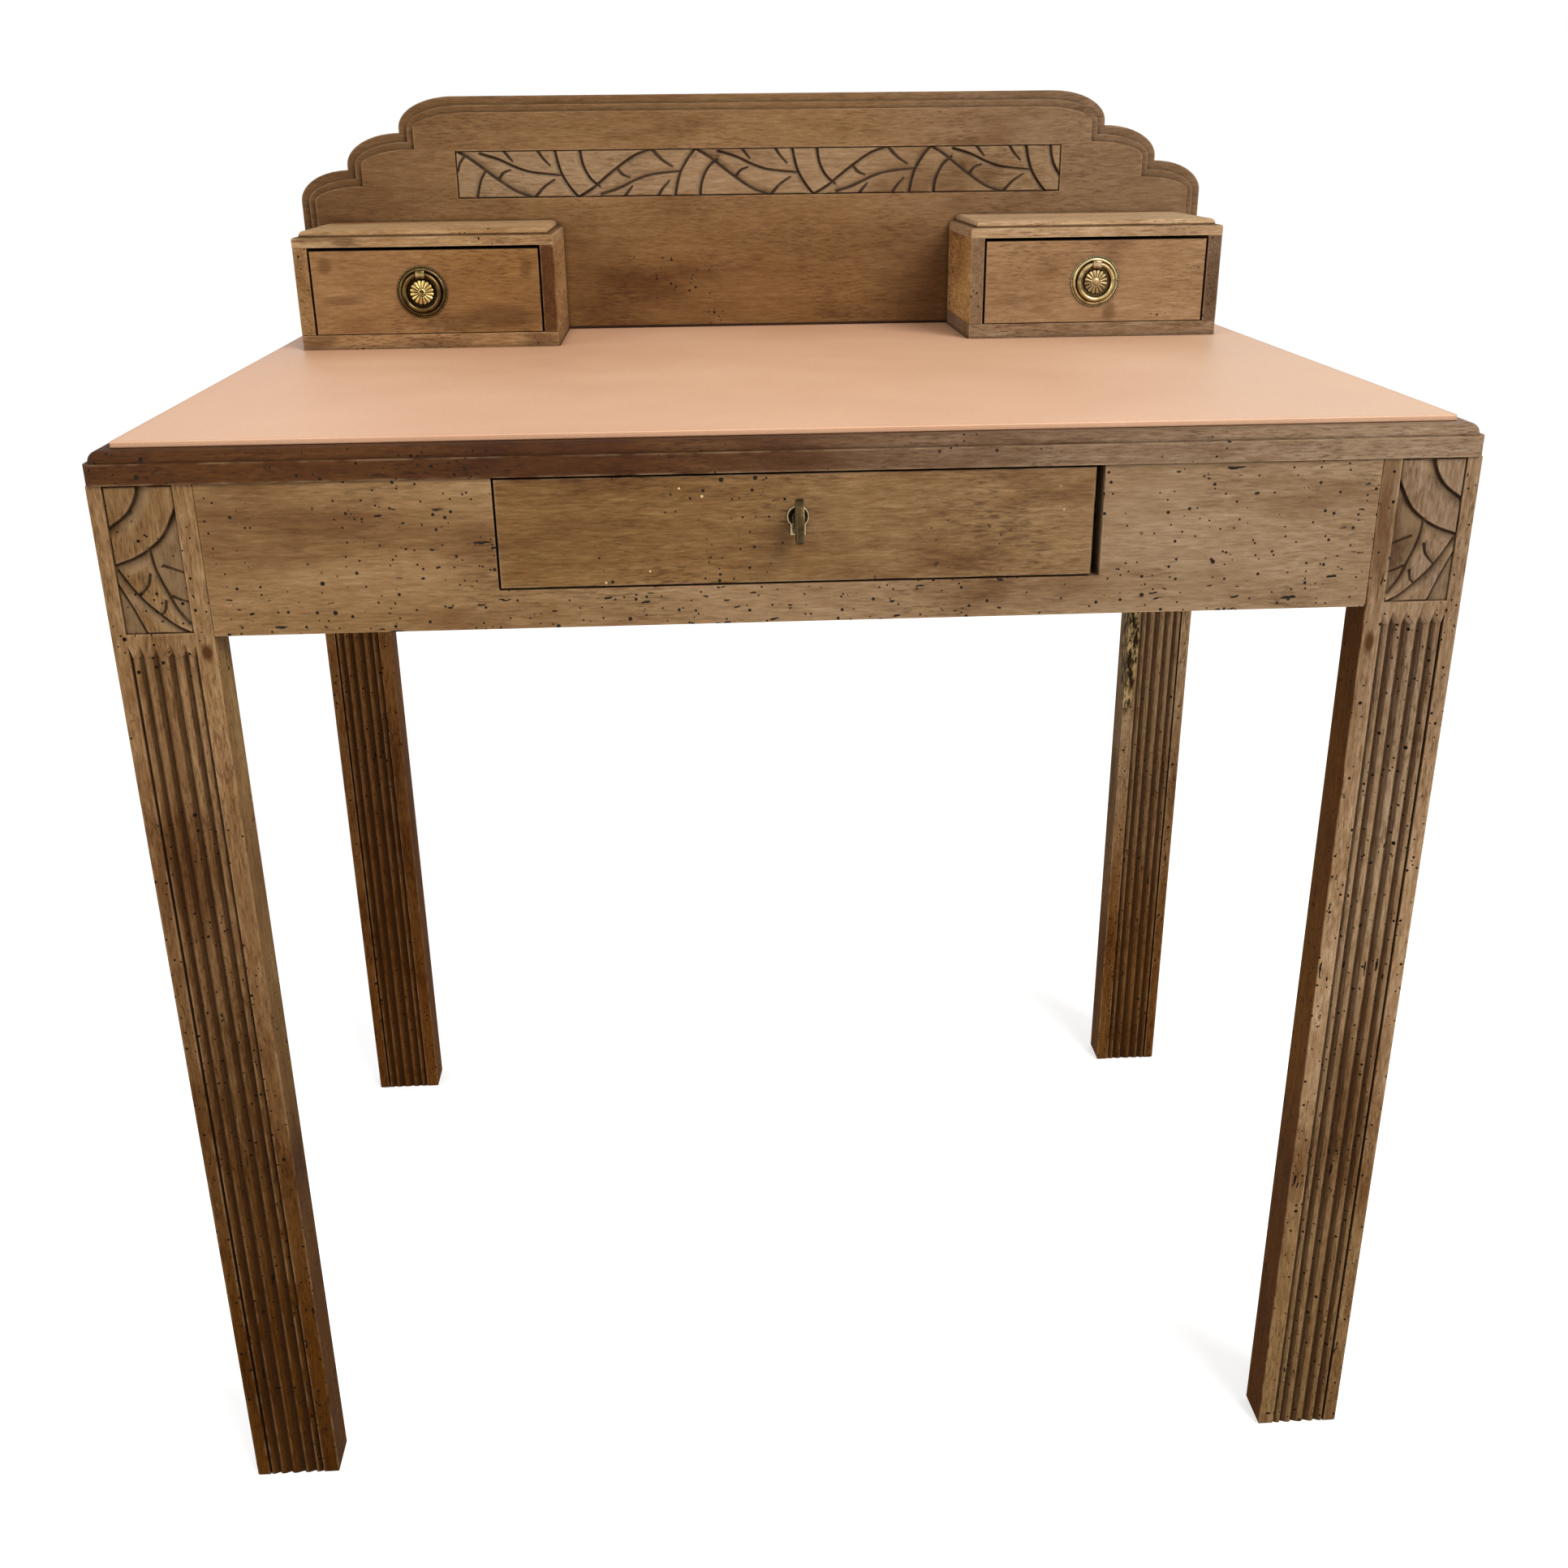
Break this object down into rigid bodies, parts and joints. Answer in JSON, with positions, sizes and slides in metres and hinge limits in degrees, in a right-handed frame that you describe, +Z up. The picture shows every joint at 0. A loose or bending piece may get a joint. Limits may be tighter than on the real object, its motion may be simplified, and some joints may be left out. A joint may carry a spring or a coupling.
{
  "type": "writing table",
  "caption": "Small writing table with reeded legs, a leathercloth top, a locking apron drawer, a scalloped carved backboard and two drawer cases with ring pulls.",
  "frame": {"origin": "on the floor, below the middle of the whole box, key included", "axes": "+Z up, -Y to the front where the drawer opens, +X to the sitter's right"},
  "size_m": [0.8, 0.5666, 0.9334],
  "materials": {
    "waxed_wood": "stripped and waxed fruitwood, dark wax in the recesses",
    "drawer_wood": "plain planed wood",
    "leathercloth": "satin salmon leathercloth",
    "bright_brass": "polished, aged in the recesses",
    "dark_brass": "antique brown brass",
    "steel": "dull steel"
  },
  "bodies": {
    "frame": {"back_rail": "waxed_wood", "backboard": "waxed_wood", "backboard_dowels": "drawer_wood", "corner_blocks": "drawer_wood", "drawer_runner_left": "drawer_wood", "drawer_runner_right": "drawer_wood", "drawer_stops": "drawer_wood", "front_rail": "waxed_wood", "left_case_bottom": "waxed_wood", "left_case_inner_side": "waxed_wood", "left_case_lid": "waxed_wood", "left_case_outer_side": "waxed_wood", "leg_back_left": "waxed_wood", "leg_back_right": "waxed_wood", "leg_front_left": "waxed_wood", "leg_front_right": "waxed_wood", "right_case_bottom": "waxed_wood", "right_case_inner_side": "waxed_wood", "right_case_lid": "waxed_wood", "right_case_outer_side": "waxed_wood", "side_rail_left": "waxed_wood", "side_rail_right": "waxed_wood", "top_board": "waxed_wood", "top_screws": "steel", "writing_surface": "leathercloth"},
    "main_drawer": {"lock_case": "steel", "lock_escutcheon": "bright_brass", "lock_screws": "steel", "main_drawer_back": "drawer_wood", "main_drawer_bottom": "drawer_wood", "main_drawer_front": "waxed_wood", "main_drawer_side_left": "drawer_wood", "main_drawer_side_right": "drawer_wood"},
    "lock_bolt": {"lock_bolt": "steel"},
    "drawer_key": {"drawer_key": "dark_brass"},
    "left_drawer": {"left_drawer_back": "drawer_wood", "left_drawer_bottom": "drawer_wood", "left_drawer_front": "waxed_wood", "left_drawer_side_left": "drawer_wood", "left_drawer_side_right": "drawer_wood", "left_pull_plate": "dark_brass", "left_pull_post": "steel", "left_pull_rosette": "bright_brass"},
    "right_drawer": {"right_drawer_back": "drawer_wood", "right_drawer_bottom": "drawer_wood", "right_drawer_front": "waxed_wood", "right_drawer_side_left": "drawer_wood", "right_drawer_side_right": "drawer_wood", "right_pull_plate": "bright_brass", "right_pull_post": "steel", "right_pull_rosette": "bright_brass"},
    "left_pull_ring": {"left_pull_ring": "dark_brass"},
    "right_pull_ring": {"right_pull_ring": "bright_brass"}
  },
  "joints": [
    {"name": "main_drawer_slide", "type": "slide", "parent": "frame", "child": "main_drawer", "axis": [0, -1, 0], "range_m": [0, 0.28]},
    {"name": "left_drawer_slide", "type": "slide", "parent": "frame", "child": "left_drawer", "axis": [0, -1, 0], "range_m": [0, 0.075]},
    {"name": "right_drawer_slide", "type": "slide", "parent": "frame", "child": "right_drawer", "axis": [0, -1, 0], "range_m": [0, 0.075]},
    {"name": "left_ring_swing", "type": "hinge", "parent": "left_drawer", "child": "left_pull_ring", "pos_m": [-0.2673, 0.1442, 0.80435], "axis": [-1, 0, 0], "range_deg": [0, 85]},
    {"name": "right_ring_swing", "type": "hinge", "parent": "right_drawer", "child": "right_pull_ring", "pos_m": [0.2638, 0.1442, 0.80435], "axis": [-1, 0, 0], "range_deg": [0, 85]},
    {"name": "key_turn", "type": "hinge", "parent": "main_drawer", "child": "drawer_key", "pos_m": [-0.00065, -0.26, 0.7], "axis": [0, 1, 0], "range_deg": [0, 90]},
    {"name": "bolt_throw", "type": "slide", "parent": "main_drawer", "child": "lock_bolt", "axis": [0, 0, 1], "range_m": [0, 0.00702]}
  ],
  "couplings": [
    {"joint": "bolt_throw", "follows": "key_turn", "m_per_rad": 0.0044563}
  ]
}
